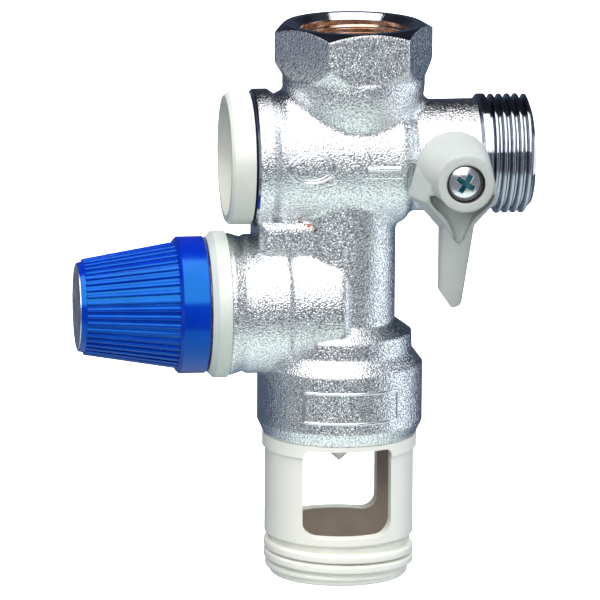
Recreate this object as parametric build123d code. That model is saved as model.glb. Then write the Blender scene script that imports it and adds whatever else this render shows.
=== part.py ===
from build123d import *
import math
import os

# Water heater safety group, millimetres. The origin is the centre of the tank port's mouth,
# +Z points up out of that port, +X points out of the cold water inlet and -Y faces the lever.
# Cold water enters on the right, passes the shut-off ball and the check valve, and leaves at the
# top. A relief valve at lower left lets expanding water fall through the tundish.

# Main axes
barrel_z = -29.7
relief_z = -62.4
drain_x = -2.58
valve_x = 20.0

# Tank port: hexagon, neck and female thread
hex_across_flats = 30.8
hex_turn = 5.0
hex_face_r = 15.2
hex_straight_end = 7.6
neck_top = 11.4
neck_r = 15.7
neck_straight = 2.0
neck_foot_depth = 24.5
neck_foot_r = 11.9
neck_bulge_depth = 19.5
neck_bulge_r = 14.35
crossing_round = 2.0
port_core_r = 12.06
port_lead_r = 13.47
port_thread_depth = 16.0
port_passage_r = 10.4

# Barrel along X, from the plug's mouth to the inlet's shoulder
barrel_r = 14.9
barrel_left = -22.6
barrel_right = 12.0
barrel_end_round = 3.0
barrel_bore_r = 12.3
barrel_bore_end = 3.8
collar_r = 15.25
collar_length = 3.6
groove_r = 14.1
groove_length = 3.2
mouth_chamfer = 2.4
edge_round = 0.5

# Inlet tube and its male thread
inlet_r = 12.3
inlet_bead_r = 13.3
inlet_bead_start = 27.6
inlet_bead_length = 1.5
inlet_bead_ramp = 0.7
inlet_core_r = 12.06
inlet_end = 39.0
inlet_lead = 0.8
inlet_bore_r = 9.6

# Pocket for the check valve cage and the passage behind its seat
cage_pocket_r = 9.4
cage_pocket_end = 11.2
passage_r = 6.2
ball_cavity_start = 12.4

# Neck between the barrel and the relief chamber
riser_r = 12.1
riser_foot_z = -66.0

# Relief chamber tube along X
relief_left = -28.2
relief_right = -2.1
relief_r = 15.4
relief_waist_r = 14.9
relief_lip_r = 15.7
relief_lip_length = 0.8
relief_waist_length = 2.6
relief_step_length = 1.0
relief_groove_middle = -14.4
relief_groove_half = 1.2
relief_end_round = 2.5
relief_mouth_r = 12.9
relief_mouth_end = -16.0
relief_chamber_r = 10.4
relief_chamber_end = -3.2
nozzle_tip = -5.2
nozzle_r = 4.6
seat_bore_r = 3.2
feed_x = 2.6
feed_r = 3.4
feed_foot = 3.6

# Web between the two tubes
web_left = -21.8
web_half_width = 9.6
web_top_z = -42.0
web_foot_z = -51.4
web_round = 2.6

# Skirt over the tundish
skirt_r = 18.3
skirt_bottom_z = -91.6
skirt_lip_r = 16.9
skirt_chamfer = 3.0
shoulder_z = -68.7
shoulder_r = 15.8
waist_z = -72.6
waist_r = 15.95
skirt_top_z = -75.7
socket_r = 15.8
socket_top_z = -81.4
cavity_r = 14.0
cavity_top_z = -78.4
drain_offset = -7.0
drain_r = 6.2
snap_z = -84.5
snap_height = 1.0
snap_rise = 0.2

# Stem boss on the inlet tube
boss_r = 6.6
boss_end = 21.0
lug_inner_r = 4.6
lug_outer_r = 6.4
lug_height = 1.2
lug_angle = 56.0
lug_direction = 45.0
counterbore_r = 5.35
counterbore_depth = 11.0

# Shut-off ball, seats and retainer
ball_r = 8.0
ball_bore_r = 5.0
ball_gap = 0.05
slot_width = 2.4
slot_depth = 2.8
seat_inner_r = 5.2
seat_length = 4.2
seat_rim_length = 2.2
seat_lip_r = 8.2
retainer_length = 4.0
retainer_inner_r = 5.6
key_slot_width = 2.2
key_slot_depth = 1.8

# Stem, washer and O-rings
stem_r = 3.95
stem_bore_r = 4.0
flange_r = 5.2
flange_start = 8.4
washer_thickness = 0.8
tang_thickness = 2.3
tang_length = 6.4
stem_ring_section = 0.55
stem_ring_places = (14.4, 17.8)
head_r = 3.6
head_flats = 5.4
head_end = 28.2

# Lever
lever_back = 15.7
lever_front = 33.9
hub_base_r = 8.2
hub_front_r = 6.2
wing_x = 9.9
wing_drop = 6.0
flare_x = 3.9
flare_drop = 12.3
tongue_x = 1.9
tongue_drop = 15.4
tongue_tip_drop = 17.0
wing_front = 28.5
wing_slope_drop = 3.0
blade_root_drop = 8.0
blade_root_front = 25.8
blade_tip_front = 19.6
blade_left = 3.25
blade_root_right = 4.0
blade_tip_right = 1.6
blade_crown = 2.3
blade_length = 30.2
blade_cut_drop = 26.8
blade_cut_x = 0.9
blade_end_round = 2.9
lever_draft = 9.0
lever_cavity_r = 7.1
lever_cavity_end = 21.3
stop_slack = 4.0
valley_floor = 23.6
screw_recess_r = 4.2
screw_seat = 30.4
screw_head_r = 3.92
screw_head_height = 3.0
screw_dome = 0.8
screw_cross_turn = 33.0
screw_shank_r = 1.98
screw_length = 11.0
lever_turn = 90.0

# Check valve
cage_r = 9.3
cage_inner_r = 7.6
cage_left = -5.0
cage_seat_thickness = 1.6
cage_seat_hole_r = 5.6
cage_window_start = -3.0
cage_window_end = 3.2
cage_window_width = 8.4
cage_ring_x = 7.2
cage_ring_section = 0.55
poppet_r = 7.0
poppet_thickness = 1.2
poppet_nose_r = 4.5
poppet_nose_length = 1.9
poppet_stem_r = 1.5
poppet_stem_left = -6.5
check_seal_thickness = 1.0
guide_hub_r = 2.5
guide_hub_length = 3.4
guide_thickness = 1.6
guide_arm_width = 1.6
guide_rim = 0.9
check_wire_r = 0.35
check_coil_r = 3.4
check_turns = 5.5

# Inspection plug
plug_flange_r = 14.58
plug_left = -28.4
plug_flange_right = -23.1
plug_spigot_r = 12.2
plug_spigot_end = -14.5
plug_recess_r = 12.55
plug_recess_floor = -24.4
plug_socket_flats = 17.0
plug_socket_floor = -16.4
plug_ring_r = 13.0
plug_ring_section = 0.72

# Relief valve
diaphragm_thickness = 1.2
holder_flange_r = 6.5
holder_flange_thickness = 1.5
holder_r = 5.7
relief_seal_r = 4.95
relief_seal_thickness = 1.6
spindle_r = 2.5
spindle_end = -58.3
plate_r = 9.6
plate_thickness = 1.5
plate_hub_r = 4.4
plate_hub_length = 3.0
relief_wire_r = 0.95
relief_coil_r = 6.8
relief_turns = 6.5
adjuster_right = -40.4
adjuster_length = 3.8
adjuster_r = 8.5
relief_lift = 1.6
knob_turn = 80.0

# Bonnet
bonnet_thread_r = 12.8
bonnet_inner_r = 10.2
bonnet_step = -30.0
bonnet_flange_left = -32.6
bonnet_tube_r = 10.2
bonnet_tube_inner_r = 8.6
bonnet_crown = -45.0
ramp_rise = 1.68
ramp_inset = 0.15
nose_angle = 24.0

# Grey collar
bonnet_collar_r = 16.2
bonnet_collar_left = -32.5
bonnet_collar_right = -28.3
bonnet_collar_chamfer = 1.3

# Knob
knob_right = -32.9
knob_flange_r = 15.12
knob_flange_left = -39.5
grip_big_r = 14.0
grip_small_r = 10.6
grip_end = -59.7
knob_end = -60.9
knob_wall = 1.9
rib_count = 44
rib_depth = 0.55
rib_width_share = 0.52
cam_shoulder = -49.4
knob_well_r = 7.4
knob_web_right = -56.5
knob_screw_seat = -58.3
knob_screw_well_r = 4.2
knob_screw_head_r = 3.7
knob_screw_head_height = 1.9
knob_screw_shank_r = 1.48
knob_screw_length = 9.0
end_disc_r = 9.4
end_disc_thickness = 0.6
end_disc_dome = 0.4

# Tundish
tundish_collar_r = 17.1
tundish_collar_height = 2.9
tundish_r = 16.49
tundish_bore_r = 13.2
outlet_core_r = 15.3
outlet_thread_top_z = -114.1
outlet_lead = 0.5
tundish_bottom_z = -123.55
window_half_width = 9.8
window_top_z = -92.7
window_bottom_z = -112.6
window_top_round = 1.6
window_bottom_round = 3.4

# Drip nozzle
drip_rim_height = 1.5
drip_rim_width = 3.0
drip_tip_z = -98.54
drip_cone_r = 5.0
drip_cone_height = 4.6
drip_post_r = 2.6
drip_arm_width = 2.2

# Clearances
slide_fit = 0.07
seat_fit = 0.05
thread_fit = 0.1
hair = 0.02


def turned(start, direction, outline):
    """Turn a closed outline of (distance along the axis, radius) points about an axis."""
    axis = Axis(start, direction)
    away = (0, 0, 1) if abs(axis.direction.Z) < 0.5 else (1, 0, 0)
    side = Vector(*away)
    plane = Plane(origin=start, x_dir=direction, z_dir=axis.direction.cross(side))
    return revolve(plane * make_face(Polyline(*outline, close=True)), axis=axis)


def turned_x(z, outline):
    return turned((0, 0, z), (1, 0, 0), outline)


def turned_z(x, outline):
    return turned((x, 0, 0), (0, 0, 1), outline)


def turned_lever(outline):
    """Turn an outline about the stem's axis. Distances are measured towards the viewer."""
    return turned((valve_x, 0, barrel_z), (0, -1, 0), outline)


def rod_x(z, start, end, radius):
    return turned_x(z, [(start, 0), (end, 0), (end, radius), (start, radius)])


def tube_x(z, start, end, inner, outer):
    return turned_x(z, [(start, inner), (end, inner), (end, outer), (start, outer)])


def o_ring(plane, radius, section):
    return plane * Torus(radius, section)


def coil_x(z, start, end, radius, wire_r, turns):
    """A compression spring along X whose end turns are cut flat."""
    length = end - start
    path = Pos(start, 0, z) * Rot(0, 90, 0) * Helix(length / turns, length, radius)
    section = Plane(path @ 0, z_dir=path % 0) * Circle(wire_r)
    body = sweep(section, path=path, is_frenet=True)
    keep = Pos((start + end) / 2, 0, z) * Box(length, 4 * radius, 4 * radius)
    return body & keep


def sector(inner, outer, start, length, middle, angle):
    """A ring sector about the stem's axis. The angle is seen from the front, from +X upwards."""
    ring = turned_lever([(start, inner), (start + length, inner), (start + length, outer), (start, outer)])
    points = [(0, 0)]
    reach = 3 * outer
    for step in range(9):
        a = math.radians(middle - angle / 2 + angle * step / 8)
        points.append((reach * math.cos(a), reach * math.sin(a)))
    plane = Plane(origin=(valve_x, 0, barrel_z), x_dir=(1, 0, 0), z_dir=(0, -1, 0))
    wedge = extrude(plane * make_face(Polyline(*points, close=True)), start + length + outer)
    return ring & wedge


# Casting

def rounded_right_end(form, radius):
    """Round the outer edge at the right-hand end of a turned form."""
    return fillet(form.edges().filter_by(GeomType.CIRCLE).sort_by(Axis.X)[-1], radius)


def blended(form, piece, radius):
    """Join a piece to the form and round the crease where the two cross."""
    joined = form + piece
    return fillet(new_edges(form, piece, combined=joined), radius)


def port_form():
    across = hex_across_flats / math.sqrt(3)
    corner = across + 0.3
    lead = (corner - hex_face_r) * math.tan(math.radians(30))
    prism = Rot(0, 0, hex_turn) * extrude(RegularPolygon(across, 6, rotation=0), -neck_top)
    limit = turned_z(0, [(0, 0), (0, hex_face_r), (-lead, corner), (-hex_straight_end, corner),
                         (-neck_top, neck_r), (-neck_top, 0)])
    bend = -neck_top - neck_straight
    side = Plane.XZ * make_face(
        Polyline((0, -neck_foot_depth), (0, -neck_top), (neck_r, -neck_top), (neck_r, bend))
        + ThreePointArc((neck_r, bend), (neck_bulge_r, -neck_bulge_depth), (neck_foot_r, -neck_foot_depth))
        + Line((neck_foot_r, -neck_foot_depth), (0, -neck_foot_depth)))
    return (prism & limit) + revolve(side, axis=Axis.Z)


def barrel_form():
    collar_end = barrel_left + collar_length
    groove_middle = collar_end + groove_length / 2
    tube = turned_x(barrel_z, [
        (barrel_left, 0), (barrel_left, collar_r - edge_round), (barrel_left + edge_round, collar_r),
        (collar_end, collar_r), (groove_middle, groove_r), (collar_end + groove_length, barrel_r),
        (barrel_right, barrel_r), (barrel_right, 0)])
    return rounded_right_end(tube, barrel_end_round)


def inlet_form():
    bead_end = inlet_bead_start + inlet_bead_length
    return turned_x(barrel_z, [
        (0, 0), (0, inlet_r), (inlet_bead_start - inlet_bead_ramp, inlet_r), (inlet_bead_start, inlet_bead_r),
        (bead_end, inlet_bead_r), (bead_end, inlet_core_r), (inlet_end - inlet_lead, inlet_core_r),
        (inlet_end, inlet_core_r - inlet_lead), (inlet_end, 0)])


def relief_form():
    lip_end = relief_left + relief_lip_length
    waist_end = lip_end + relief_waist_length
    tube = turned_x(relief_z, [
        (relief_left, 0), (relief_left, relief_lip_r), (lip_end, relief_lip_r), (waist_end, relief_waist_r),
        (waist_end + relief_step_length, relief_r), (relief_groove_middle - relief_groove_half, relief_r),
        (relief_groove_middle, relief_waist_r), (relief_groove_middle + relief_groove_half, relief_r),
        (relief_right, relief_r), (relief_right, 0)])
    return rounded_right_end(tube, relief_end_round)


def skirt_form():
    return turned_z(drain_x, [
        (barrel_z, 0), (barrel_z, riser_r), (riser_foot_z, riser_r), (shoulder_z, shoulder_r),
        (waist_z, waist_r), (skirt_top_z, skirt_r), (skirt_bottom_z + skirt_chamfer, skirt_r),
        (skirt_bottom_z + 0.4, skirt_lip_r + 0.2), (skirt_bottom_z, skirt_lip_r), (skirt_bottom_z, 0)])


def web_form():
    height = web_top_z - web_foot_z
    width = drain_x - web_left
    middle = Pos(web_left + width / 2, 0, (web_top_z + web_foot_z) / 2)
    block = middle * Box(width, 2 * web_half_width, height)
    front_back = block.edges().filter_by(Axis.X)
    ends = block.edges().filter_by(Axis.Z).group_by(Axis.X)[0]
    return fillet(front_back + ends, web_round)


def boss_form():
    boss = turned_lever([(0, 0), (boss_end, 0), (boss_end, boss_r), (0, boss_r)])
    lug = sector(lug_inner_r, lug_outer_r, boss_end - hair, lug_height + hair, lug_direction, lug_angle)
    return boss + lug


def casting_outside():
    form = blended(barrel_form(), inlet_form(), crossing_round)
    form = blended(form, port_form(), crossing_round)
    form = blended(form, skirt_form(), crossing_round)
    form += web_form()
    form += relief_form()
    return form + boss_form()


def water_ways():
    lead = port_lead_r - port_core_r
    port = turned_z(0, [(0, 0), (0, port_lead_r), (-lead, port_core_r), (-port_thread_depth, port_core_r),
                        (-port_thread_depth, port_passage_r), (barrel_z, port_passage_r), (barrel_z, 0)])
    barrel = turned_x(barrel_z, [
        (barrel_left, 0), (barrel_left, barrel_bore_r + mouth_chamfer),
        (barrel_left + mouth_chamfer, barrel_bore_r), (barrel_bore_end, barrel_bore_r),
        (barrel_bore_end, cage_pocket_r), (cage_pocket_end, cage_pocket_r), (cage_pocket_end, passage_r),
        (ball_cavity_start, passage_r), (ball_cavity_start, inlet_bore_r), (inlet_end, inlet_bore_r),
        (inlet_end, 0)])
    stem = turned_lever([(0, 0), (boss_end + lug_height, 0), (boss_end + lug_height, stem_bore_r),
                         (counterbore_depth, stem_bore_r), (counterbore_depth, counterbore_r),
                         (0, counterbore_r)])
    relief = turned_x(relief_z, [
        (relief_left, 0), (relief_left, relief_mouth_r), (relief_mouth_end, relief_mouth_r),
        (relief_mouth_end, relief_chamber_r), (relief_chamber_end, relief_chamber_r),
        (relief_chamber_end, nozzle_r), (nozzle_tip, nozzle_r), (nozzle_tip, seat_bore_r),
        (feed_x, seat_bore_r), (feed_x, 0)])
    feed_bottom = relief_z - feed_foot
    feed = turned_z(feed_x, [(feed_bottom, 0), (feed_bottom, feed_r), (barrel_z, feed_r), (barrel_z, 0)])
    drain_at = drain_x + drain_offset
    drain = turned_z(drain_at, [(relief_z, 0), (relief_z, drain_r), (socket_top_z, drain_r),
                                (socket_top_z, 0)])
    skirt = turned_z(drain_x, [
        (cavity_top_z, 0), (cavity_top_z, cavity_r - 1.5), (cavity_top_z - 1.5, cavity_r),
        (socket_top_z, cavity_r), (socket_top_z, socket_r), (snap_z + snap_height, socket_r),
        (snap_z + snap_height / 2, socket_r + 2 * snap_rise),
        (snap_z - snap_height / 2, socket_r + 2 * snap_rise),
        (snap_z - snap_height, socket_r), (skirt_bottom_z, socket_r), (skirt_bottom_z, 0)])
    return [port, barrel, stem, relief, feed, drain, skirt]


def body_casting():
    form = casting_outside()
    for way in water_ways():
        form -= way
    return form


# Shut-off valve

def valve_centre():
    return Pos(valve_x, 0, barrel_z)


def shutoff_ball():
    ball = Sphere(ball_r) - Cylinder(ball_bore_r, 3 * ball_r)
    slot = Pos(0, -ball_r, 0) * Box(3 * ball_r, 2 * slot_depth, slot_width)
    return valve_centre() * (ball - slot)


def ball_seat_inner():
    start = ball_cavity_start
    outer = inlet_bore_r - thread_fit
    ring = turned_x(barrel_z, [
        (start, seat_inner_r), (start, outer), (start + seat_rim_length, outer),
        (start + seat_rim_length, seat_lip_r), (start + seat_length, seat_lip_r),
        (start + seat_length, seat_inner_r)])
    return ring - valve_centre() * Sphere(ball_r + ball_gap)


def ball_seat_outer():
    return mirror(ball_seat_inner(), about=Plane(origin=(valve_x, 0, 0), z_dir=(1, 0, 0)))


def ball_retainer_ring():
    start = 2 * valve_x - ball_cavity_start
    ring = tube_x(barrel_z, start, start + retainer_length, retainer_inner_r, inlet_bore_r - thread_fit)
    cutter = Box(2 * key_slot_depth, 3 * inlet_bore_r, key_slot_width)
    slot = Pos(start + retainer_length, 0, barrel_z) * cutter
    return ring - slot


def lever_stem():
    flange_end = counterbore_depth - washer_thickness
    outline = [(flange_start, 0), (flange_start, flange_r), (flange_end, flange_r), (flange_end, stem_r)]
    for place in stem_ring_places:
        half = 1.6 * stem_ring_section
        deep = stem_bore_r - 2.1 * stem_ring_section
        outline += [(place - half, stem_r), (place - half, deep), (place + half, deep), (place + half, stem_r)]
    outline += [(lever_cavity_end, stem_r), (lever_cavity_end, head_r), (head_end, head_r), (head_end, 0)]
    stem = turned_lever(outline)
    tang_end = ball_r - slot_depth + seat_fit
    tang_height = flange_start - tang_end
    stem += Pos(valve_x, -tang_end - tang_height / 2, barrel_z) * Box(tang_length, tang_height, tang_thickness)
    head_length = head_end - lever_cavity_end
    for side in (-1, 1):
        flat = Pos(valve_x + side * (head_flats + head_r) / 2, -(lever_cavity_end + head_length / 2), barrel_z)
        stem -= flat * Box(head_r, head_length, 3 * head_r)
    hole_depth = screw_length - (screw_seat - head_end) + 0.6
    stem -= turned_lever([(head_end - hole_depth, 0), (head_end, 0), (head_end, screw_shank_r + hair),
                          (head_end - hole_depth, screw_shank_r + hair)])
    return stem


def stem_washer():
    end = counterbore_depth
    start = end - washer_thickness
    return turned_lever([(start, stem_r + hair), (end, stem_r + hair), (end, flange_r), (start, flange_r)])


def stem_o_rings():
    rings = []
    for place in stem_ring_places:
        plane = Plane(origin=(valve_x, -place, barrel_z), z_dir=(0, -1, 0))
        rings.append(o_ring(plane, stem_bore_r - hair - stem_ring_section, stem_ring_section))
    return Compound(children=rings)


def lever_outline():
    """The hub's wings and the tongue below them, seen from the front with the stem at the origin."""
    lines = []
    for side in (-1, 1):
        shoulder = (side * hub_base_r * 0.966, hub_base_r * 0.259)
        wing = (side * wing_x, -wing_drop)
        flare = (side * flare_x, -flare_drop)
        tongue = (side * tongue_x, -tongue_drop)
        lines.append(Line(shoulder, wing))
        lines.append(Spline(wing, flare, tongue, tangents=((-side * 0.8, -0.6), (-side * 0.25, -0.97))))
    lines.append(ThreePointArc((-tongue_x, -tongue_drop), (0, -tongue_tip_drop), (tongue_x, -tongue_drop)))
    left = (-hub_base_r * 0.966, hub_base_r * 0.259)
    right = (hub_base_r * 0.966, hub_base_r * 0.259)
    lines.append(ThreePointArc(left, (0, hub_base_r), right))
    return make_face(lines)


def valley_outline():
    """The dished hollow below the hub's face, as a tongue that narrows to a round tip."""
    right = [(7.1, -3.5), (5.7, -6.5), (3.5, -8.6), (2.0, -11.2), (1.1, -13.6)]
    left = [(-x, y) for x, y in reversed(right)]
    tip = ThreePointArc(right[-1], (0, -14.8), left[0])
    sides = Spline(*right) + Spline(*left)
    roof = Line(left[-1], right[0])
    return make_face([*sides, tip, roof])


def blade_section(drop, front, right):
    """A level section of the blade: a flat back and a crowned front."""
    flank = front - blade_crown
    middle = (right - blade_left) / 2
    plane = Plane(origin=(valve_x, 0, barrel_z - drop), x_dir=(1, 0, 0), z_dir=(0, 0, 1))
    return plane * make_face(
        Polyline((-blade_left, -flank), (-blade_left, -lever_back), (right, -lever_back), (right, -flank))
        + ThreePointArc((right, -flank), (middle, -front), (-blade_left, -flank)))


def lever_blade():
    """The blade, cut off at a slant at its left and rounded at its right lower corner."""
    bar = loft([blade_section(blade_root_drop, blade_root_front, blade_root_right),
                blade_section(blade_length + 1, blade_tip_front, blade_tip_right)])
    reach = 2 * blade_left
    slant = (blade_length - blade_cut_drop) / (blade_left - blade_cut_x)
    corner_x = blade_tip_right + 0.6
    corner_top = -blade_length + blade_end_round
    bottom = -blade_length
    end = Polyline((corner_x, corner_top), (reach, corner_top), (reach, 0), (-reach, 0),
                   (-reach, bottom + slant * (reach - blade_cut_x)), (-blade_cut_x, bottom),
                   (corner_x - blade_end_round * 0.72, bottom))
    corner = ThreePointArc((corner_x - blade_end_round * 0.72, bottom),
                           (corner_x - 0.5, corner_top - 0.72 * blade_end_round), (corner_x, corner_top))
    front = Plane(origin=(valve_x, 0, barrel_z), x_dir=(1, 0, 0), z_dir=(0, -1, 0))
    return bar & extrude(front * make_face(end + corner), lever_front)


def lever():
    front = Plane(origin=(valve_x, 0, barrel_z), x_dir=(1, 0, 0), z_dir=(0, -1, 0))
    hub = turned_lever([(lever_back, 0), (lever_back, hub_base_r), (lever_front, hub_front_r), (lever_front, 0)])
    sheet = front.offset(lever_back) * lever_outline()
    plate = extrude(sheet, lever_front - lever_back - 4.0, taper=lever_draft)
    side = Plane(origin=(valve_x, 0, barrel_z), x_dir=(0, -1, 0), z_dir=(-1, 0, 0))
    profile = side * make_face(Polyline(
        (lever_back - 1, hub_base_r + 1), (wing_front, hub_base_r + 1), (wing_front, -wing_slope_drop),
        (valley_floor + 0.1, -tongue_tip_drop), (lever_back - 1, -tongue_tip_drop - 1), close=True))
    plate = (plate & extrude(profile, wing_x + 2, both=True)) + lever_blade()
    valley = extrude(front.offset(valley_floor) * valley_outline(), lever_front - valley_floor)
    post = turned_lever([(lever_back, 0), (lever_back, hub_front_r), (lever_front, hub_front_r),
                         (lever_front, 0)])
    form = (hub + plate - valley) + post
    form -= turned_lever([(lever_back - 1, 0), (lever_cavity_end, 0), (lever_cavity_end, lever_cavity_r),
                          (lever_back - 1, lever_cavity_r)])
    pocket_angle = lug_angle + lever_turn + 2 * stop_slack
    pocket_middle = lug_direction + lever_turn / 2
    form -= sector(lug_inner_r - 0.2, lug_outer_r + 0.3, lever_cavity_end - hair, lug_height + hair,
                   pocket_middle, pocket_angle)
    socket = turned_lever([(lever_cavity_end - 1, 0), (head_end + seat_fit, 0),
                           (head_end + seat_fit, head_r + seat_fit), (lever_cavity_end - 1, head_r + seat_fit)])
    flats = Pos(valve_x, -(lever_cavity_end + head_end) / 2, barrel_z)
    form -= socket & (flats * Box(head_flats + 2 * seat_fit, head_end, 4 * head_r))
    form -= turned_lever([(head_end, 0), (lever_front, 0), (lever_front, screw_recess_r),
                          (screw_seat, screw_recess_r), (screw_seat, screw_shank_r + thread_fit),
                          (head_end, screw_shank_r + thread_fit)])
    return form


def lever_screw():
    top = screw_seat + screw_head_height
    dome_r = (screw_head_r ** 2 + screw_dome ** 2) / (2 * screw_dome)
    rod = turned_lever([
        (screw_seat, 0), (screw_seat, screw_head_r), (lever_front, screw_head_r), (lever_front, 0)])
    screw = rod & (Pos(valve_x, dome_r - top, barrel_z) * Sphere(dome_r))
    screw += turned_lever([(screw_seat - screw_length, 0), (screw_seat, 0), (screw_seat, screw_shank_r),
                           (screw_seat - screw_length + 0.8, screw_shank_r),
                           (screw_seat - screw_length, screw_shank_r - 0.7)])
    cross = Box(4.4, 3.0, 1.15) + Box(1.15, 3.0, 4.4)
    return screw - Pos(valve_x, -top, barrel_z) * Rot(0, screw_cross_turn, 0) * cross


# Check valve

def check_valve_cage():
    step = barrel_bore_end + 0.4
    face = cage_pocket_end - cage_seat_thickness
    neck = cage_r - 2.1 * cage_ring_section
    half = 1.6 * cage_ring_section
    cage = turned_x(barrel_z, [
        (cage_left, cage_inner_r), (cage_left, cage_r - 0.4), (step, cage_r - 0.4), (step, cage_r),
        (cage_ring_x - half, cage_r), (cage_ring_x - half, neck), (cage_ring_x + half, neck),
        (cage_ring_x + half, cage_r), (cage_pocket_end - seat_fit, cage_r),
        (cage_pocket_end - seat_fit, cage_seat_hole_r), (face, cage_seat_hole_r), (face, cage_inner_r)])
    middle = Pos((cage_window_start + cage_window_end) / 2, 0, barrel_z)
    length = cage_window_end - cage_window_start
    cage -= middle * Box(length, 3 * cage_r, cage_window_width)
    cage -= middle * Box(length, cage_window_width, 3 * cage_r)
    return cage


def check_valve_guide():
    outer = cage_inner_r - seat_fit
    right = cage_left + guide_thickness
    rim = tube_x(barrel_z, cage_left, right, outer - guide_rim, outer)
    hub = rod_x(barrel_z, cage_left, cage_left + guide_hub_length, guide_hub_r)
    guide = rim + hub
    for arm in range(3):
        reach = outer - guide_rim / 2
        spoke = Pos(0, 0, reach / 2) * Box(guide_thickness, guide_arm_width, reach)
        guide += Pos(cage_left + guide_thickness / 2, 0, barrel_z) * Rot(120 * arm, 0, 0) * spoke
    return guide - rod_x(barrel_z, cage_left - 1, cage_left + guide_hub_length + 1, poppet_stem_r + slide_fit)


def check_seal_right():
    return cage_pocket_end - cage_seat_thickness - seat_fit


def check_valve_seal():
    right = check_seal_right()
    return tube_x(barrel_z, right - check_seal_thickness, right, poppet_nose_r + hair, poppet_r)


def check_valve_poppet():
    face = check_seal_right() - check_seal_thickness
    return turned_x(barrel_z, [
        (poppet_stem_left, 0), (poppet_stem_left, poppet_stem_r - 0.5),
        (poppet_stem_left + 0.5, poppet_stem_r), (face - poppet_thickness, poppet_stem_r),
        (face - poppet_thickness, poppet_r), (face, poppet_r), (face, poppet_nose_r),
        (face + poppet_nose_length - 0.8, poppet_nose_r), (face + poppet_nose_length, poppet_nose_r - 1.2),
        (face + poppet_nose_length, 0)])


def check_valve_spring():
    start = cage_left + guide_thickness
    end = check_seal_right() - check_seal_thickness - poppet_thickness
    return coil_x(barrel_z, start, end, check_coil_r, check_wire_r, check_turns)


def check_valve_o_ring():
    plane = Plane(origin=(cage_ring_x, 0, barrel_z), z_dir=(1, 0, 0))
    return o_ring(plane, cage_pocket_r - hair - cage_ring_section, cage_ring_section)


# Inspection plug

def inspection_plug():
    lip = 0.7
    plug = turned_x(barrel_z, [
        (plug_left, plug_recess_r), (plug_left, plug_flange_r - lip), (plug_left + lip, plug_flange_r),
        (plug_flange_right, plug_flange_r), (plug_flange_right, plug_spigot_r),
        (plug_spigot_end - 0.8, plug_spigot_r), (plug_spigot_end, plug_spigot_r - 0.8), (plug_spigot_end, 0),
        (plug_recess_floor, 0), (plug_recess_floor, plug_recess_r)])
    socket = Plane(origin=(plug_socket_floor, 0, barrel_z), x_dir=(0, 1, 0), z_dir=(-1, 0, 0))
    key = extrude(socket * RegularPolygon(plug_socket_flats / math.sqrt(3), 6), plug_socket_floor - plug_left)
    return plug - key


def plug_o_ring():
    plane = Plane(origin=(barrel_left + 0.35, 0, barrel_z), z_dir=(1, 0, 0))
    return o_ring(plane, plug_ring_r, plug_ring_section)


# Relief valve

def diaphragm_left():
    return relief_mouth_end - diaphragm_thickness


def relief_diaphragm():
    return tube_x(relief_z, diaphragm_left(), relief_mouth_end, spindle_r + hair, relief_mouth_r - thread_fit)


def relief_seal():
    right = nozzle_tip - seat_fit
    return rod_x(relief_z, right - relief_seal_thickness, right, relief_seal_r)


def relief_disc():
    left = relief_mouth_end + seat_fit
    seal_left = nozzle_tip - seat_fit - relief_seal_thickness
    rim_right = seal_left + relief_seal_thickness - 0.5
    holder = turned_x(relief_z, [
        (left, 0), (left, holder_flange_r), (left + holder_flange_thickness, holder_flange_r),
        (left + holder_flange_thickness, holder_r - 1.2), (seal_left - 2.5, holder_r - 1.2),
        (seal_left - 1.5, holder_r), (rim_right, holder_r), (rim_right, relief_seal_r + hair),
        (seal_left, relief_seal_r + hair), (seal_left, 0)])
    return holder - rod_x(relief_z, left - 1, left + 6, spindle_r + hair)


def relief_spindle():
    tip = relief_mouth_end + seat_fit + 6
    spindle = rod_x(relief_z, spindle_end, tip, spindle_r)
    well = rod_x(relief_z, spindle_end, spindle_end + knob_screw_length, knob_screw_shank_r + hair)
    return spindle - well


def spring_plate():
    right = diaphragm_left() - seat_fit
    left = right - plate_thickness
    return turned_x(relief_z, [
        (left - plate_hub_length, spindle_r + hair), (right, spindle_r + hair), (right, plate_r),
        (left, plate_r), (left, plate_hub_r), (left - plate_hub_length, plate_hub_r)])


def relief_spring():
    end = diaphragm_left() - seat_fit - plate_thickness
    return coil_x(relief_z, adjuster_right, end, relief_coil_r, relief_wire_r, relief_turns)


def spring_adjuster():
    left = adjuster_right - adjuster_length
    nut = tube_x(relief_z, left, adjuster_right, spindle_r + slide_fit, adjuster_r)
    slot = Pos(left, 0, relief_z) * Box(2 * key_slot_depth, key_slot_width, 3 * adjuster_r)
    return nut - slot


def cam_ramp(turn):
    """One helical ramp on the bonnet's crown. It rises away from the casting as the angle grows."""
    middle_r = (bonnet_tube_r + bonnet_tube_inner_r) / 2
    width = bonnet_tube_r - bonnet_tube_inner_r - 2 * ramp_inset
    pitch = relief_lift * 360 / knob_turn
    foot = 2.0
    path = Helix(pitch, ramp_rise, middle_r)
    section = Plane(origin=(middle_r, 0, -foot / 2), x_dir=(1, 0, 0), z_dir=(0, 1, 0)) * Rectangle(width, foot)
    ramp = sweep(section, path=path, is_frenet=True)
    above = Pos(0, 0, ramp_rise / 2) * Cylinder(2 * middle_r, ramp_rise + 2 * ramp_inset)
    return Pos(bonnet_crown, 0, relief_z) * Rot(0, -90, 0) * Rot(0, 0, turn) * (ramp & above)


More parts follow.
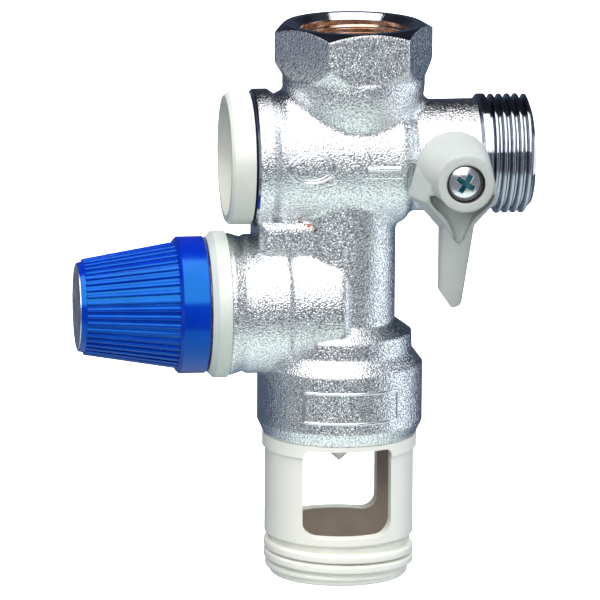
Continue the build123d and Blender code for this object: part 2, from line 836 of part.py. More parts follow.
def relief_bonnet():
    right = diaphragm_left()
    bonnet = turned_x(relief_z, [
        (right, bonnet_inner_r), (right, bonnet_thread_r), (bonnet_flange_left, bonnet_thread_r),
        (bonnet_flange_left, bonnet_tube_r), (bonnet_crown, bonnet_tube_r),
        (bonnet_crown, bonnet_tube_inner_r), (bonnet_step, bonnet_tube_inner_r),
        (bonnet_step, bonnet_inner_r)])
    for turn in (0, 180):
        bonnet += cam_ramp(turn)
    return bonnet


def bonnet_collar():
    inner = bonnet_thread_r + thread_fit
    return turned_x(relief_z, [
        (bonnet_collar_right, inner), (bonnet_collar_right, bonnet_collar_r),
        (bonnet_collar_left + bonnet_collar_chamfer, bonnet_collar_r),
        (bonnet_collar_left, bonnet_collar_r - bonnet_collar_chamfer), (bonnet_collar_left, inner)])


# Knob

def grip_rib(angle):
    """One straight rib of the grip, narrower at the small end, laid on the cone."""
    core_drop = 1.2
    half_big = math.pi * grip_big_r / rib_count * rib_width_share
    half_small = math.pi * grip_small_r / rib_count * rib_width_share
    sections = []
    for x, r, half in ((knob_flange_left + 0.2, grip_big_r, half_big), (grip_end, grip_small_r, half_small)):
        plane = Plane(origin=(x, 0, relief_z), x_dir=(0, 1, 0), z_dir=(-1, 0, 0))
        low = r - rib_depth - core_drop
        sections.append(plane * make_face(Polyline(
            (low, -half), (r - 0.3 * rib_depth, -half), (r, -0.45 * half), (r, 0.45 * half),
            (r - 0.3 * rib_depth, half), (low, half), close=True)))
    rib = loft(sections)
    return rib.rotate(Axis((0, 0, relief_z), (1, 0, 0)), angle)


def knob_shell():
    slope = (grip_big_r - grip_small_r) / (knob_flange_left - grip_end)
    big = grip_big_r - rib_depth
    small = grip_small_r - rib_depth
    shoulder_r = grip_big_r - knob_wall + slope * (cam_shoulder - knob_flange_left)
    return turned_x(relief_z, [
        (knob_right, knob_flange_r - knob_wall), (knob_right, knob_flange_r - 0.3),
        (knob_right - 0.3, knob_flange_r), (knob_flange_left + 0.7, knob_flange_r),
        (knob_flange_left, knob_flange_r - 0.7), (knob_flange_left, big), (grip_end, small),
        (knob_end, small - 0.25), (knob_end, end_disc_r + 0.08),
        (knob_end + end_disc_thickness, end_disc_r + 0.08), (knob_end + end_disc_thickness, knob_screw_well_r),
        (knob_screw_seat, knob_screw_well_r), (knob_screw_seat, spindle_r + slide_fit),
        (knob_web_right, spindle_r + slide_fit), (knob_web_right, knob_well_r),
        (cam_shoulder, knob_well_r), (cam_shoulder, shoulder_r),
        (knob_flange_left, grip_big_r - knob_wall)])


def cam_nose(turn):
    tip = bonnet_crown - 0.3
    ring = tube_x(relief_z, cam_shoulder - hair, tip, bonnet_tube_inner_r, bonnet_tube_r)
    points = [(0, 0)]
    for step in range(5):
        a = math.radians(turn - nose_angle + nose_angle * step / 4)
        points.append((3 * bonnet_tube_r * math.cos(a), 3 * bonnet_tube_r * math.sin(a)))
    wedge = extrude(make_face(Polyline(*points, close=True)), 3 * bonnet_tube_r, both=True)
    return ring & (Pos(bonnet_crown, 0, relief_z) * Rot(0, -90, 0) * wedge)


def relief_knob():
    knob = knob_shell()
    ribs = [grip_rib(360 * step / rib_count) for step in range(rib_count)]
    knob = knob.fuse(*ribs)
    for turn in (0, 180):
        knob += cam_nose(turn)
    return knob


def knob_screw():
    seat = knob_screw_seat - seat_fit
    head = seat - knob_screw_head_height
    screw = turned_x(relief_z, [
        (seat, 0), (seat, knob_screw_head_r), (head + 0.7, knob_screw_head_r),
        (head, knob_screw_head_r - 0.9), (head, 0)])
    screw += rod_x(relief_z, seat, spindle_end + knob_screw_length - 0.5, knob_screw_shank_r)
    cross = Box(2.4, 4.0, 0.9) + Box(2.4, 0.9, 4.0)
    return screw - Pos(head, 0, relief_z) * cross


def knob_end_disc():
    back = knob_end + end_disc_thickness
    face = knob_end - 0.2
    crown = face - end_disc_dome
    flat = end_disc_r / 3
    return turned_x(relief_z, [
        (back, 0), (back, end_disc_r), (face, end_disc_r), (crown + 0.12, 2 * flat), (crown, flat), (crown, 0)])


# Tundish

def tundish_top_z():
    return socket_top_z - seat_fit - drip_rim_height


def tundish():
    top = tundish_top_z()
    collar_top = skirt_bottom_z - seat_fit
    spigot_r = socket_r - thread_fit
    collar_bottom = collar_top - tundish_collar_height
    tube = turned_z(drain_x, [
        (top, tundish_bore_r), (top, spigot_r - 0.5), (top - 0.5, spigot_r),
        (snap_z + snap_height / 2, spigot_r), (snap_z, spigot_r + snap_rise),
        (snap_z - snap_height / 2, spigot_r), (collar_top, spigot_r), (collar_top, tundish_collar_r),
        (collar_bottom, tundish_collar_r), (collar_bottom - 0.6, tundish_r),
        (outlet_thread_top_z, tundish_r), (outlet_thread_top_z - 0.6, outlet_core_r),
        (tundish_bottom_z + outlet_lead, outlet_core_r), (tundish_bottom_z, outlet_core_r - outlet_lead),
        (tundish_bottom_z, tundish_bore_r)])
    low, high = window_bottom_z, window_top_z
    half = window_half_width
    window = Plane(origin=(drain_x, 0, 0), x_dir=(1, 0, 0), z_dir=(0, -1, 0)) * make_face(
        Polyline((-half, low), (half, low), (half, high), (-half, high), close=True))
    cutter = extrude(window, 2 * tundish_r, both=True)
    upright = cutter.edges().filter_by(Axis.Y)
    cutter = fillet(upright.group_by(Axis.Z)[-1], window_top_round)
    cutter = fillet(cutter.edges().filter_by(Axis.Y).group_by(Axis.Z)[0], window_bottom_round)
    return tube - cutter


def drip_nozzle():
    high = socket_top_z - seat_fit
    low = tundish_top_z()
    outer = socket_r - 0.2
    inner = outer - drip_rim_width
    cone_top = drip_tip_z + drip_cone_height
    rim = turned_z(drain_x, [(high, inner), (high, outer), (low + hair, outer), (low + hair, inner)])
    drop = turned_z(drain_x, [
        (high, 0), (high, drip_post_r), (cone_top + 3.5, drip_post_r), (cone_top + 1.0, drip_cone_r),
        (cone_top, drip_cone_r), (drip_tip_z, 0)])
    nozzle = rim + drop
    reach = inner + drip_rim_width / 2
    for arm in range(3):
        spoke = Pos(reach / 2, 0, 0) * Box(reach, drip_arm_width, drip_rim_height - hair)
        nozzle += Pos(drain_x, 0, (high + low + hair) / 2) * Rot(0, 0, 90 + 120 * arm) * spoke
    return nozzle


pieces = {
    "body_casting": body_casting,
    "shutoff_ball": shutoff_ball,
    "ball_seat_inner": ball_seat_inner,
    "ball_seat_outer": ball_seat_outer,
    "ball_retainer_ring": ball_retainer_ring,
    "lever_stem": lever_stem,
    "stem_washer": stem_washer,
    "stem_o_rings": stem_o_rings,
    "lever": lever,
    "lever_screw": lever_screw,
    "check_valve_cage": check_valve_cage,
    "check_valve_guide": check_valve_guide,
    "check_valve_poppet": check_valve_poppet,
    "check_valve_seal": check_valve_seal,
    "check_valve_spring": check_valve_spring,
    "check_valve_o_ring": check_valve_o_ring,
    "inspection_plug": inspection_plug,
    "plug_o_ring": plug_o_ring,
    "relief_disc": relief_disc,
    "relief_seal": relief_seal,
    "relief_diaphragm": relief_diaphragm,
    "relief_spindle": relief_spindle,
    "spring_plate": spring_plate,
    "relief_spring": relief_spring,
    "spring_adjuster": spring_adjuster,
    "relief_bonnet": relief_bonnet,
    "bonnet_collar": bonnet_collar,
    "relief_knob": relief_knob,
    "knob_screw": knob_screw,
    "knob_end_disc": knob_end_disc,
    "tundish": tundish,
    "drip_nozzle": drip_nozzle,
}

os.makedirs("parts", exist_ok=True)
for node, make in pieces.items():
    export_step(make(), os.path.join("parts", node + ".step"))
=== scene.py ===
import math

import bmesh
import bpy
from mathutils import Matrix, Vector


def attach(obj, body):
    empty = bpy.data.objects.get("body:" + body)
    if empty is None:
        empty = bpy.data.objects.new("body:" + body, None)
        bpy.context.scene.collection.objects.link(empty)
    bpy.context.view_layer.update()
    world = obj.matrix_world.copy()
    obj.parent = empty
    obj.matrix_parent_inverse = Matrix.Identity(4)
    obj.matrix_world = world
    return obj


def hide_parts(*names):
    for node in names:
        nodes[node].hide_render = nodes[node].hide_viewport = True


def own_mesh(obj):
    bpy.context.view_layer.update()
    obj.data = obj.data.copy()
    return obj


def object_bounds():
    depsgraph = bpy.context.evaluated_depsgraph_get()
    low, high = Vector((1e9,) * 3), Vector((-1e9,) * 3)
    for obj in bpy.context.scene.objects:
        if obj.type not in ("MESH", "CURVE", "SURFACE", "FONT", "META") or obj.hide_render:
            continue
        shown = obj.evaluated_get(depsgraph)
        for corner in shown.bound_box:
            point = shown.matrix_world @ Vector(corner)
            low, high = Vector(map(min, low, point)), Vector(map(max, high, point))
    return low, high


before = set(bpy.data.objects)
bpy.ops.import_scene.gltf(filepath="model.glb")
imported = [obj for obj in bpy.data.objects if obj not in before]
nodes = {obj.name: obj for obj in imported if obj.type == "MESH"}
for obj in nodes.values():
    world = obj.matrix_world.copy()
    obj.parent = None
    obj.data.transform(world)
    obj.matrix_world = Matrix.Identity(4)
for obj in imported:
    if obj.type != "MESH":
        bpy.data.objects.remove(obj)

# Water heater safety group. Lengths are metres, and every finish is made of procedural nodes.
# The imported solids stay as they are: this file dresses them, adds threads and cast marks, and
# shows the two springs as copies.

scene = bpy.context.scene
cad_low, cad_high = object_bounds()


# Camera. A long lens in front of the lever, a little to the plug's side and a little above it,
# at the distance that the perspective of the photograph gives.

camera_turn = math.radians(7.555)
camera_rise = math.radians(12.353)
camera_roll = math.radians(0.380)
camera_distance = 1.5739
camera_target = Vector((-0.011526, 0.0, -0.061898))
camera_lens_mm = 427.85

back = Vector((-math.sin(camera_turn) * math.cos(camera_rise),
               -math.cos(camera_turn) * math.cos(camera_rise), math.sin(camera_rise)))
level = Vector((math.cos(camera_turn), -math.sin(camera_turn), 0.0))
upright = back.cross(level)
right = level * math.cos(camera_roll) + upright * math.sin(camera_roll)
top = upright * math.cos(camera_roll) - level * math.sin(camera_roll)
camera = bpy.data.objects.new("camera", bpy.data.cameras.new("camera"))
camera.data.lens = camera_lens_mm
camera.data.sensor_width = 36.0
camera.data.clip_start = 0.05
camera.data.clip_end = 20.0
turn = Matrix((right, top, back)).transposed().to_4x4()
camera.matrix_world = Matrix.Translation(camera_target + back * camera_distance) @ turn
scene.collection.objects.link(camera)
scene.camera = camera
scene.view_settings.view_transform = "Standard"


# Studio. A pale table, one large soft box high in front, weaker ones at the sides, and a room
# that is dark at eye level, which gives the plating its black and white bands. The gleam shares
# the key's place and is seen by reflections alone, so that the plating burns out before the plastic,
# and the top and back boxes are left out of them.

key_place = (-0.18, -0.56, 0.77)
key_size = (1.30, 1.71)
soft_boxes = {
    "key": (key_place, key_size, 22.0, (1.0, 0.99, 0.97)),
    "gleam": (key_place, key_size, 38.0, (1.0, 0.99, 0.98)),
    "top": ((0.05, -0.15, 0.80), (0.60, 0.60), 2.0, (1.0, 1.0, 0.99)),
    "left": ((-0.90, -0.10, 0.10), (0.35, 0.90), 0.35, (0.86, 0.93, 1.0)),
    "right": ((0.85, -0.05, 0.05), (0.60, 0.90), 3.0, (0.88, 0.94, 1.0)),
    "back": ((0.20, 0.90, 0.35), (0.80, 0.80), 9.0, (0.96, 0.98, 1.0)),
}
front_bands = [(0.0, (1.06, 1.18, 1.15)), (0.20, (1.06, 1.18, 1.15)), (0.28, (0.25, 0.26, 0.29)),
               (0.60, (0.19, 0.20, 0.22)), (0.72, (0.16, 0.17, 0.20)), (1.0, (0.02, 0.02, 0.03))]
rear_bands = [(0.0, (0.80, 0.92, 0.96)), (0.25, (0.13, 0.17, 0.24)), (0.55, (0.06, 0.08, 0.12)),
              (0.66, (0.04, 0.05, 0.07)), (0.80, (0.03, 0.03, 0.04)), (1.0, (0.02, 0.02, 0.03))]
room_strength = 1.0
backdrop_strength = 1.0

for name, (place, size, power, colour) in soft_boxes.items():
    light = bpy.data.lights.new("box_" + name, "AREA")
    light.shape = "RECTANGLE"
    light.size, light.size_y = size
    light.energy = power
    light.color = colour
    lamp = bpy.data.objects.new("box_" + name, light)
    lamp.location = place
    aim = camera_target - Vector(place)
    lamp.rotation_euler = aim.to_track_quat("-Z", "Y").to_euler()
    lamp.visible_camera = False
    lamp.visible_diffuse = name != "gleam"
    lamp.visible_glossy = name not in ("top", "back")
    scene.collection.objects.link(lamp)

room = bpy.data.worlds.new("room")
room.use_nodes = True
scene.world = room
sky = room.node_tree
sky.nodes.clear()


def feed(tree, node, sockets):
    """Links each socket whose value is an output of another node, and sets the others."""
    for name, value in dict(sockets).items():
        if isinstance(value, bpy.types.NodeSocket):
            tree.links.new(value, node.inputs[name])
        else:
            node.inputs[name].default_value = value


def tree_node(tree, kind, sockets=(), **settings):
    """Adds a node to a shader or geometry tree, with its settings made before its sockets are fed."""
    made = tree.nodes.new(kind)
    for name, value in settings.items():
        setattr(made, name, value)
    feed(tree, made, sockets)
    return made


facing = tree_node(sky, "ShaderNodeTexCoord").outputs["Generated"]
parts = tree_node(sky, "ShaderNodeSeparateXYZ", {0: facing})


def sky_share(part, low, high):
    """How far one part of a direction lies between two values, from 0 to 1."""
    return tree_node(sky, "ShaderNodeMapRange", {"Value": parts.outputs[part], "From Min": low,
                                                 "From Max": high}).outputs["Result"]


def sky_bands(bands):
    """A ramp of colours from straight down to straight up."""
    ramp = tree_node(sky, "ShaderNodeValToRGB", {"Fac": sky_share("Z", -1.0, 1.0)})
    while len(ramp.color_ramp.elements) < len(bands):
        ramp.color_ramp.elements.new(0.5)
    for stop, (position, colour) in zip(ramp.color_ramp.elements, bands):
        stop.position = position
        stop.color = (*colour, 1.0)
    return ramp.outputs["Color"]


both = tree_node(sky, "ShaderNodeMix", {0: sky_share("Y", 0.0, 0.4), 6: sky_bands(front_bands),
                                        7: sky_bands(rear_bands)}, data_type="RGBA")
lit = tree_node(sky, "ShaderNodeBackground", {"Color": both.outputs[2], "Strength": room_strength})
seen = tree_node(sky, "ShaderNodeBackground", {"Color": (1.0, 1.0, 1.0, 1.0),
                                               "Strength": backdrop_strength})
to_camera = tree_node(sky, "ShaderNodeLightPath").outputs["Is Camera Ray"]
choose = tree_node(sky, "ShaderNodeMixShader", {"Fac": to_camera, 1: lit.outputs["Background"],
                                                2: seen.outputs["Background"]})
tree_node(sky, "ShaderNodeOutputWorld", {"Surface": choose.outputs["Shader"]})


def shader_node(material, kind, sockets=(), **settings):
    return tree_node(material.node_tree, "ShaderNode" + kind, sockets, **settings)


def feed_skin(material, sockets):
    feed(material.node_tree, material.node_tree.nodes["Principled BSDF"], sockets)


def new_material(name, colour, metallic):
    """A material to build on. The colour is the one that a plain viewport shows."""
    made = bpy.data.materials.new(name)
    made.use_nodes = True
    made.diffuse_color = (*colour, 1.0)
    feed_skin(made, {"Metallic": metallic})
    return made


def object_place(material, stretch=(1.0, 1.0, 1.0)):
    place = shader_node(material, "TexCoord").outputs["Object"]
    return shader_node(material, "Mapping", {"Vector": place, "Scale": stretch}).outputs["Vector"]


def noise(material, place, scale, detail):
    made = shader_node(material, "TexNoise", {"Vector": place, "Scale": scale, "Detail": detail})
    return made.outputs["Fac"]


def blend_colours(material, share, *colours):
    first, second = (colour if isinstance(colour, bpy.types.NodeSocket) else (*colour, 1.0)
                     for colour in colours)
    return shader_node(material, "Mix", {0: share, 6: first, 7: second}, data_type="RGBA").outputs[2]


def stretch_value(material, value, low, high, new_low, new_high):
    made = shader_node(material, "MapRange", {"Value": value, "From Min": low, "From Max": high,
                                              "To Min": new_low, "To Max": new_high})
    return made.outputs["Result"]


def raised(material, grain, depth, softness):
    """Lets a pattern raise and lower a skin by a depth, over edges that are a little round."""
    soft = shader_node(material, "Bevel", {"Radius": softness}, samples=4).outputs["Normal"]
    bump = shader_node(material, "Bump", {"Height": grain, "Distance": depth, "Normal": soft})
    feed_skin(material, {"Normal": bump.outputs["Normal"]})


def finish(name, drift_scale, colours, roughness, metallic=0.0, grain=None, stretch=(1.0, 1.0, 1.0),
           softness=0.0002):
    """A material whose colour and roughness drift slowly from one value to another, as handling and
    moulding leave them. Its grain is the scale of a fine relief and how far that rises and falls."""
    made = new_material(name, colours[1], metallic)
    drift = stretch_value(made, noise(made, object_place(made), drift_scale, 4.0), 0.3, 0.7, 0.0, 1.0)
    feed_skin(made, {"Base Color": blend_colours(made, drift, *colours),
                     "Roughness": stretch_value(made, drift, 0.0, 1.0, *roughness)})
    if grain:
        scale, depth = grain
        raised(made, noise(made, object_place(made, stretch), scale, 2.0), depth, softness)
    return made


def dress(material, *names):
    for name in names:
        slots = nodes[name].data.materials
        slots.clear()
        slots.append(material)


table_half = 3.0
table_glow = 0.9
table_top = finish("table_paint", 6.0, ((0.93, 0.94, 0.95), (0.95, 0.95, 0.96)), (0.55, 0.65))
feed_skin(table_top, {"Emission Color": (1.0, 1.0, 1.0, 1.0), "Emission Strength": table_glow})
table_mesh = bpy.data.meshes.new("table")
table_mesh.from_pydata([(-table_half, -table_half, cad_low.z), (table_half, -table_half, cad_low.z),
                        (table_half, table_half, cad_low.z), (-table_half, table_half, cad_low.z)],
                       [], [(0, 1, 2, 3)])
table_mesh.materials.append(table_top)
table = bpy.data.objects.new("table", table_mesh)
scene.collection.objects.link(table)
table.visible_glossy = False
table.visible_diffuse = False


# Valve body. One brass casting, bead blasted and then nickel and chrome plated, so its skin is a
# bright fine grain. The hexagon's crown, the bead and the mouths are turned after casting, and
# the plating has worn through to copper in a few small places at the front. The paired values
# say where a turned face or a water way begins, and out to what radius it goes.

barrel_z = -0.0297
relief_z = -0.0624
drain_x = -0.00258
lever_x = 0.0200
port_wall_r, port_foot_z = 0.0136, -0.0165
crown_z, crown_slope = -0.0032, 0.25
inlet_x, inlet_bore_r = 0.0268, 0.0097
plug_mouth_x, plug_mouth_r = -0.0221, 0.0154
bonnet_mouth_x, bonnet_mouth_r = -0.0281, 0.0158
chamber_end_x, chamber_r, inlet_way_r = 0.0125, 0.01235, 0.0098
relief_bore_x, relief_bore_r = -0.0023, 0.0130
skirt_bore_z, skirt_bore_r = -0.0783, 0.0163
stem_boss_y, stem_hole_r = -0.0208, 0.0045
plating_light = (0.86, 0.88, 0.90)
plating_dark = (0.80, 0.83, 0.86)
grain_scale = 2700.0
grain_depth = 0.00019
pit_shade = 0.60
edge_softness = 0.0009
flake_size, worn_reach, worn_blur = 0.004, 0.0016, 0.0002
copper_colour = (0.30, 0.13, 0.065)
worn_places = [((-0.00915, -0.01445, -0.03263), 0.0007), ((-0.00760, -0.01474, -0.03203), 0.0007),
               ((-0.0125, -0.0083, -0.04235), 0.0006), ((-0.01087, -0.00926, -0.04331), 0.0009),
               ((-0.00941, -0.01000, -0.04409), 0.0006), ((-0.00998, -0.00956, -0.0502), 0.0003),
               ((-0.0091, -0.01526, -0.06445), 0.0003)]

blasted = new_material("blasted_plating", plating_light, 1.0)
place = object_place(blasted)
drift = noise(blasted, place, 260.0, 5.0)
plating_share = stretch_value(blasted, drift, 0.35, 0.65, 0.0, 1.0)
plating = blend_colours(blasted, plating_share, plating_dark, plating_light)
flakes = noise(blasted, place, 1400.0, 4.0)
worn = None
for centre, size in worn_places:
    away = shader_node(blasted, "VectorMath", {0: place, 1: centre}, operation="DISTANCE").outputs["Value"]
    ragged = shader_node(blasted, "Math", {0: flakes, 1: flake_size, 2: away}, operation="MULTIPLY_ADD")
    edge = size + worn_reach
    inside = stretch_value(blasted, ragged.outputs[0], edge, edge + worn_blur, 1.0, 0.0)
    if worn is None:
        worn = inside
    else:
        worn = shader_node(blasted, "Math", {0: worn, 1: inside}, operation="MAXIMUM").outputs[0]
grain = noise(blasted, place, grain_scale, 1.0)
# The colour is darkened in the grain's hollows by pit_shade: painted shade in the pits of the blasted skin.
pit_painted_shade = stretch_value(blasted, grain, 0.38, 0.50, pit_shade, 1.0)
shaded = shader_node(blasted, "VectorMath", {0: plating, "Scale": pit_painted_shade}, operation="SCALE")
feed_skin(blasted, {"Base Color": blend_colours(blasted, worn, shaded.outputs["Vector"], copper_colour),
                    "Roughness": stretch_value(blasted, drift, 0.3, 0.7, 0.14, 0.21)})
raised(blasted, grain, grain_depth, edge_softness)

turned = finish("turned_plating", 300.0, ((0.38, 0.41, 0.47), (0.46, 0.48, 0.53)), (0.05, 0.12),
                metallic=1.0, grain=(350.0, 0.00001), stretch=(14.0, 1.0, 1.0))
rubbed = finish("rubbed_plating", 400.0, ((0.78, 0.81, 0.85), (0.88, 0.89, 0.91)), (0.16, 0.26),
                metallic=1.0, grain=(2200.0, 0.00003))
thread_brass = finish("thread_brass", 180.0, ((0.66, 0.40, 0.27), (0.92, 0.82, 0.74)), (0.08, 0.2),
                      metallic=1.0)
water_way = finish("water_way_brass", 220.0, ((0.45, 0.33, 0.20), (0.62, 0.48, 0.30)), (0.35, 0.5),
                   metallic=1.0, grain=(1500.0, 0.00005))


def casting_skin(middle, normal):
    """Which of the casting's finishes a face has, from where it lies."""
    from_port = math.hypot(middle.x, middle.y)
    from_barrel = math.hypot(middle.y, middle.z - barrel_z)
    from_relief = math.hypot(middle.y, middle.z - relief_z)
    from_drain = math.hypot(middle.x - drain_x, middle.y)
    from_stem = math.hypot(middle.x - lever_x, middle.z - barrel_z)
    if from_port < port_wall_r and middle.z > port_foot_z and normal.z < crown_slope:
        return thread_brass
    if middle.z > crown_z and normal.z > crown_slope:
        return turned
    if middle.x > inlet_x and from_barrel > inlet_bore_r:
        return turned
    if middle.x < plug_mouth_x and from_barrel < plug_mouth_r:
        return turned
    if middle.x < bonnet_mouth_x and from_relief < bonnet_mouth_r:
        return turned
    if from_barrel < (chamber_r if middle.x < chamber_end_x else inlet_way_r):
        return water_way
    if from_relief < relief_bore_r and middle.x < relief_bore_x:
        return water_way
    if from_drain < skirt_bore_r and middle.z < skirt_bore_z:
        return water_way
    if middle.y < stem_boss_y:
        return turned
    if from_stem < stem_hole_r and middle.y < 0:
        return water_way
    return blasted


casting = nodes["body_casting"].data
casting_finishes = [blasted, turned, thread_brass, water_way]
casting.materials.clear()
for skin in casting_finishes:
    casting.materials.append(skin)
for face in casting.polygons:
    face.material_index = casting_finishes.index(casting_skin(face.center, face.normal))


# Cast marks on the front of the body: a flow arrow, an oval badge left bare and a long frame left
# bare on the skirt. They are raised beads of the same casting, plated with it and rubbed smooth.

barrel_r = 0.0149
skirt_r = 0.0183
bead_sink = 0.00012
bead_tree = bpy.data.node_groups.new("raised_bead", "GeometryNodeTree")


def tree_input(tree, name, kind, value=None):
    socket = tree.interface.new_socket(name, in_out="INPUT", socket_type="NodeSocket" + kind)
    if value is not None:
        socket.default_value = value
    return socket


def finish_tree(tree, made, material):
    """Ends a tree with real geometry, smooth shading and its material."""
    real = tree_node(tree, "GeometryNodeRealizeInstances", {"Geometry": made})
    smooth = tree_node(tree, "GeometryNodeSetShadeSmooth", {0: real.outputs[0]})
    painted = tree_node(tree, "GeometryNodeSetMaterial", {"Geometry": smooth.outputs[0],
                                                          "Material": material})
    tree.interface.new_socket("Geometry", in_out="OUTPUT", socket_type="NodeSocketGeometry")
    out = tree.nodes.new("NodeGroupOutput")
    tree.links.new(painted.outputs[0], out.inputs[0])


def grown(name, tree, values, start=None):
    """Runs a tree on a start mesh and returns the result as an object with a plain mesh."""
    seed = bpy.data.objects.new(name + "_seed", start or bpy.data.meshes.new(name + "_seed"))
    scene.collection.objects.link(seed)
    modifier = seed.modifiers.new("grow", "NODES")
    modifier.node_group = tree
    for item in tree.interface.items_tree:
        if item.in_out == "INPUT" and item.name in values:
            modifier[item.identifier] = values[item.name]
    drawn = seed.evaluated_get(bpy.context.evaluated_depsgraph_get())
    mesh = bpy.data.meshes.new_from_object(drawn)
    seed.modifiers.remove(modifier)
    bpy.data.objects.remove(seed)
    mesh.name = name
    made = bpy.data.objects.new(name, mesh)
    scene.collection.objects.link(made)
    return made


tree_input(bead_tree, "Geometry", "Geometry")
tree_input(bead_tree, "Bead radius", "Float", 0.0004)
tree_input(bead_tree, "Point spacing", "Float", 0.0004)
tree_input(bead_tree, "Material", "Material")
given = bead_tree.nodes.new("NodeGroupInput").outputs
path = tree_node(bead_tree, "GeometryNodeMeshToCurve", {"Mesh": given["Geometry"]})
even = tree_node(bead_tree, "GeometryNodeResampleCurve", {"Curve": path.outputs[0],
                                                          "Length": given["Point spacing"]}, mode="LENGTH")
section = tree_node(bead_tree, "GeometryNodeCurvePrimitiveCircle", {"Resolution": 10,
                                                                    "Radius": given["Bead radius"]})
bead = tree_node(bead_tree, "GeometryNodeCurveToMesh", {"Curve": even.outputs[0], "Fill Caps": True,
                                                        "Profile Curve": section.outputs[0]})
finish_tree(bead_tree, bead.outputs[0], given["Material"])


def on_barrel(x, z):
    return Vector((x, -math.sqrt((barrel_r - bead_sink) ** 2 - (z - barrel_z) ** 2), z))


def on_skirt(x, z):
    return Vector((x, -math.sqrt((skirt_r - bead_sink) ** 2 - (x - drain_x) ** 2), z))


def cast_bead(name, points, radius, closed=False):
    count = len(points)
    edges = [(i, (i + 1) % count) for i in range(count if closed else count - 1)]
    line = bpy.data.meshes.new(name + "_line")
    line.from_pydata(points, edges, [])
    bead = grown(name, bead_tree, {"Bead radius": radius, "Material": rubbed}, line)
    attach(bead, "casing")


def straight(place, first, last, count=12):
    """Points from one (x, z) to another, laid on a wall by the function called place."""
    (x, z), (end_x, end_z) = first, last
    return [place(x + (end_x - x) * i / count, z + (end_z - z) * i / count) for i in range(count + 1)]


def oval(place, x, z, half_x, half_z, count=72):
    angles = [math.tau * i / count for i in range(count)]
    return [place(x + half_x * math.cos(a), z + half_z * math.sin(a)) for a in angles]


stroke_r = 0.00036
bar_r = 0.00060
edge_r = 0.00015
dot_r = 0.00045
oval_x, oval_z, oval_half_x, oval_half_z = -0.0110, -0.02945, 0.0051, 0.00335
oval_r = 0.00034
inner_share = 0.80
inner_r = 0.00024
frame_left, frame_right, frame_top, frame_bottom = -0.01245, 0.00814, -0.0794, -0.0861
cast_bead("flow_arrow_stroke", straight(on_barrel, (0.00038, -0.02297), (0.00217, -0.02822)), stroke_r)
cast_bead("flow_arrow_bar", straight(on_barrel, (0.00125, -0.0298), (0.00856, -0.0298)), bar_r)
cast_bead("flow_arrow_edge", straight(on_barrel, (-0.0009, -0.0301), (-0.0005, -0.0313), 3)
          + straight(on_barrel, (0.0005, -0.03195), (0.0092, -0.0320)), edge_r)
cast_bead("flow_arrow_dot", straight(on_barrel, (-0.0022, -0.0292), (-0.0018, -0.0293), 2), dot_r)
cast_bead("oval_badge", oval(on_barrel, oval_x, oval_z, oval_half_x, oval_half_z), oval_r, True)
cast_bead("oval_badge_inner", oval(on_barrel, oval_x, oval_z, inner_share * oval_half_x,
                                   inner_share * oval_half_z), inner_r, True)
frame_corners = [(frame_left, frame_top), (frame_right, frame_top), (frame_right, frame_bottom),
                 (frame_left, frame_bottom)]
rim = []
for first, last in zip(frame_corners, frame_corners[1:] + frame_corners[:1]):
    rim += straight(on_skirt, first, last, 24)[:-1]
cast_bead("skirt_frame", rim, stroke_r, True)


# Pipe threads. The inlet's and the tundish's are cut or moulded on their ends and the tank port's
# is cut in its bore. Each is one ridge along a right-hand helix that fades out at both ends.

thread_tree = bpy.data.node_groups.new("pipe_thread", "GeometryNodeTree")
for name, value in (("Core radius", 0.012), ("Ridge height", 0.001), ("Foot width", 0.0016),
                    ("Crest width", 0.0005), ("Edge round", 0.0002), ("Pitch", 0.0018),
                    ("Turns", 5.0), ("Fade turns", 0.4)):
    tree_input(thread_tree, name, "Float", value)
for name in ("Profile turn", "Start", "Direction"):
    tree_input(thread_tree, name, "Vector", (0.0, 0.0, 0.0))
tree_input(thread_tree, "Material", "Material")
given = thread_tree.nodes.new("NodeGroupInput").outputs


def thread_sum(operation, first, second):
    return tree_node(thread_tree, "ShaderNodeMath", {0: first, 1: second}, operation=operation).outputs[0]


rise = thread_sum("MULTIPLY", given["Pitch"], given["Turns"])
helix = tree_node(thread_tree, "GeometryNodeCurveSpiral", {
    "Resolution": 72, "Rotations": given["Turns"], "Start Radius": given["Core radius"],
    "End Radius": given["Core radius"], "Height": rise})
level_normals = tree_node(thread_tree, "GeometryNodeSetCurveNormal", {"Curve": helix.outputs[0]}, mode="Z_UP")
along = tree_node(thread_tree, "GeometryNodeSplineParameter").outputs["Factor"]
nearest = thread_sum("MINIMUM", along, thread_sum("SUBTRACT", 1.0, along))
turns_in = thread_sum("MULTIPLY", nearest, given["Turns"])
fade = tree_node(thread_tree, "ShaderNodeMapRange", {"Value": turns_in, "From Max": given["Fade turns"],
                                                     "To Min": 0.05}).outputs["Result"]
flank = tree_node(thread_tree, "GeometryNodeCurvePrimitiveQuadrilateral", {
    "Bottom Width": given["Foot width"], "Top Width": given["Crest width"], "Offset": 0.0,
    "Height": given["Ridge height"]}, mode="TRAPEZOID")
rounded = tree_node(thread_tree, "GeometryNodeFilletCurve", {"Curve": flank.outputs[0], "Count": 3,
                                                             "Radius": given["Edge round"]}, mode="POLY")
half_height = thread_sum("MULTIPLY", given["Ridge height"], 0.5)
lift = tree_node(thread_tree, "ShaderNodeCombineXYZ", {"Y": half_height})
lifted = tree_node(thread_tree, "GeometryNodeTransform", {"Geometry": rounded.outputs[0],
                                                          "Translation": lift.outputs[0]})
stood = tree_node(thread_tree, "GeometryNodeTransform", {"Geometry": lifted.outputs[0],
                                                         "Rotation": given["Profile turn"]})
ridge = tree_node(thread_tree, "GeometryNodeCurveToMesh", {
    "Curve": level_normals.outputs[0], "Scale": fade, "Profile Curve": stood.outputs[0], "Fill Caps": True})
